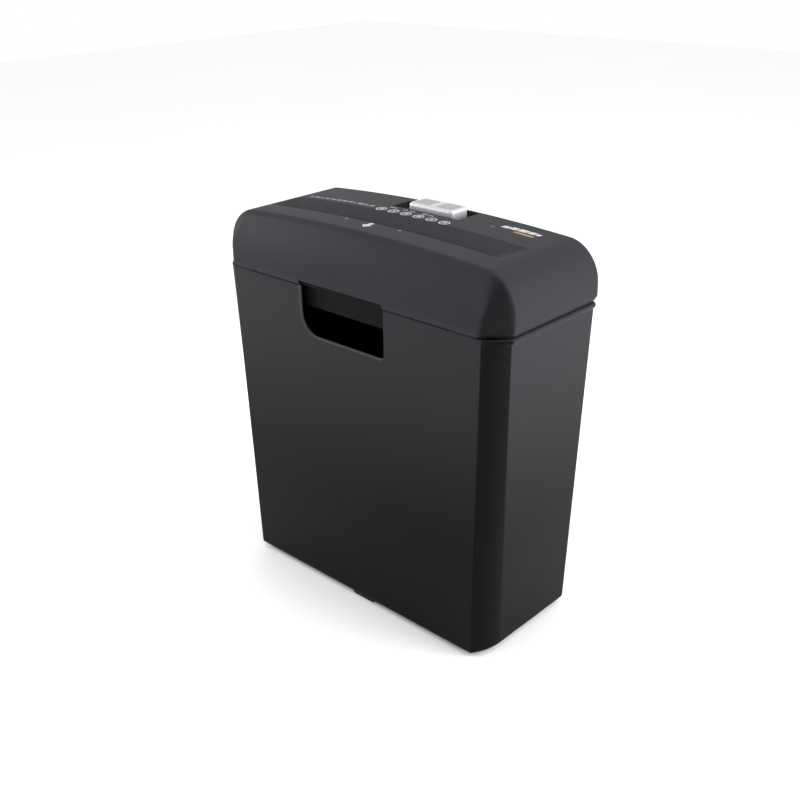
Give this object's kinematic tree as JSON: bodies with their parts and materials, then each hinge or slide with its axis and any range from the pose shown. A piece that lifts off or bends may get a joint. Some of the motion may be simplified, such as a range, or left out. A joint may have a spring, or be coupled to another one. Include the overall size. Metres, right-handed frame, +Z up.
{
  "type": "paper shredder",
  "caption": "Desk-side paper shredder: a rounded motor head with a feed slot and slide switch, lifting off a tapered waste bin with a hand hole.",
  "frame": {"origin": "on the floor under the middle of the shredder's outline", "axes": "+X along the paper slot, to the gear end; -Y the front, with the hand hole; +Z up"},
  "size_m": [0.317, 0.129, 0.349],
  "materials": {
    "black_plastic": "fine-grained satin black moulding",
    "dark_plastic": "plain dark moulding inside the head",
    "silver_plastic": "silver-painted plastic",
    "steel": "ground and stamped steel, lightly oiled",
    "gear_plastic": "natural acetal, off-white",
    "rubber": "soft black rubber",
    "circuit_board": "green solder mask"
  },
  "bodies": {
    "bin": {"waste_bin": "black_plastic", "foot_front_centre": "black_plastic", "foot_left_front": "rubber", "foot_left_rear": "rubber", "foot_right_front": "rubber", "foot_right_rear": "rubber"},
    "head": {"head_cover": "black_plastic", "head_base": "dark_plastic", "base_screw_left_front": "steel", "base_screw_left_rear": "steel", "base_screw_right_front": "steel", "base_screw_right_rear": "steel", "side_plate_left": "steel", "side_plate_right": "steel", "bush_left_front": "steel", "bush_left_rear": "steel", "bush_right_front": "steel", "bush_right_rear": "steel", "tie_rod_front": "steel", "tie_rod_rear": "steel", "tie_rod_lower": "steel", "stripper_front": "steel", "stripper_rear": "steel", "gear_pin_1": "steel", "gear_pin_2": "steel", "gear_bearing_plate": "steel", "motor_can": "steel", "motor_end_left": "dark_plastic", "motor_end_right": "dark_plastic", "power_board": "circuit_board", "motor_capacitor": "dark_plastic", "fuse_block": "dark_plastic", "thermal_cutout": "dark_plastic", "cord_inlet_bush": "rubber", "switch_module": "dark_plastic", "paper_sensor_switch": "dark_plastic", "interlock_switch": "dark_plastic"},
    "rear_cutter": {"cutter_rear": "steel", "cutter_gear_rear": "steel", "final_gear": "gear_plastic"},
    "front_cutter": {"cutter_front": "steel", "cutter_gear_front": "steel"},
    "idler_1": {"reduction_gear_1": "gear_plastic"},
    "idler_2": {"reduction_gear_2": "gear_plastic"},
    "rotor": {"motor_rotor": "steel", "motor_pinion": "steel", "cooling_fan": "gear_plastic"},
    "slider": {"switch_slider": "silver_plastic"},
    "sensor": {"paper_sensor_lever": "gear_plastic"},
    "plunger": {"interlock_plunger": "gear_plastic"}
  },
  "joints": [
    {"name": "head_lift", "type": "slide", "parent": "bin", "child": "head", "axis": [0, 0, 1], "range_m": [0, 0.12]},
    {"name": "rear_cutter_spin", "type": "hinge", "parent": "head", "child": "rear_cutter", "pos_m": [0, 0.001, 0.304], "axis": [1, 0, 0], "continuous": true},
    {"name": "front_cutter_spin", "type": "hinge", "parent": "head", "child": "front_cutter", "pos_m": [0, -0.025, 0.304], "axis": [1, 0, 0], "continuous": true},
    {"name": "idler_2_spin", "type": "hinge", "parent": "head", "child": "idler_2", "pos_m": [0.128, 0.03069, 0.29971], "axis": [1, 0, 0], "continuous": true},
    {"name": "idler_1_spin", "type": "hinge", "parent": "head", "child": "idler_1", "pos_m": [0.121, 0.0265, 0.32019], "axis": [1, 0, 0], "continuous": true},
    {"name": "motor_spin", "type": "hinge", "parent": "head", "child": "rotor", "pos_m": [0.118, 0.037, 0.302], "axis": [1, 0, 0], "continuous": true},
    {"name": "switch_slide", "type": "slide", "parent": "head", "child": "slider", "axis": [1, 0, 0], "range_m": [-0.008, 0.008]},
    {"name": "sensor_press", "type": "hinge", "parent": "head", "child": "sensor", "pos_m": [-0.005, 0.012, 0.329], "axis": [1, 0, 0], "range_deg": [0, 14], "stiffness_Nm_per_rad": 0.004, "springref_deg": -5.73},
    {"name": "interlock_press", "type": "slide", "parent": "head", "child": "plunger", "axis": [0, 0, 1], "range_m": [0, 0.003], "stiffness_N_per_m": 120, "springref_m": -0.002}
  ],
  "couplings": [
    {"joint": "front_cutter_spin", "follows": "rear_cutter_spin", "ratio": -1},
    {"joint": "idler_2_spin", "follows": "rear_cutter_spin", "ratio": -2.3333},
    {"joint": "idler_1_spin", "follows": "rear_cutter_spin", "ratio": 5.0556},
    {"joint": "motor_spin", "follows": "rear_cutter_spin", "ratio": -12.639}
  ]
}
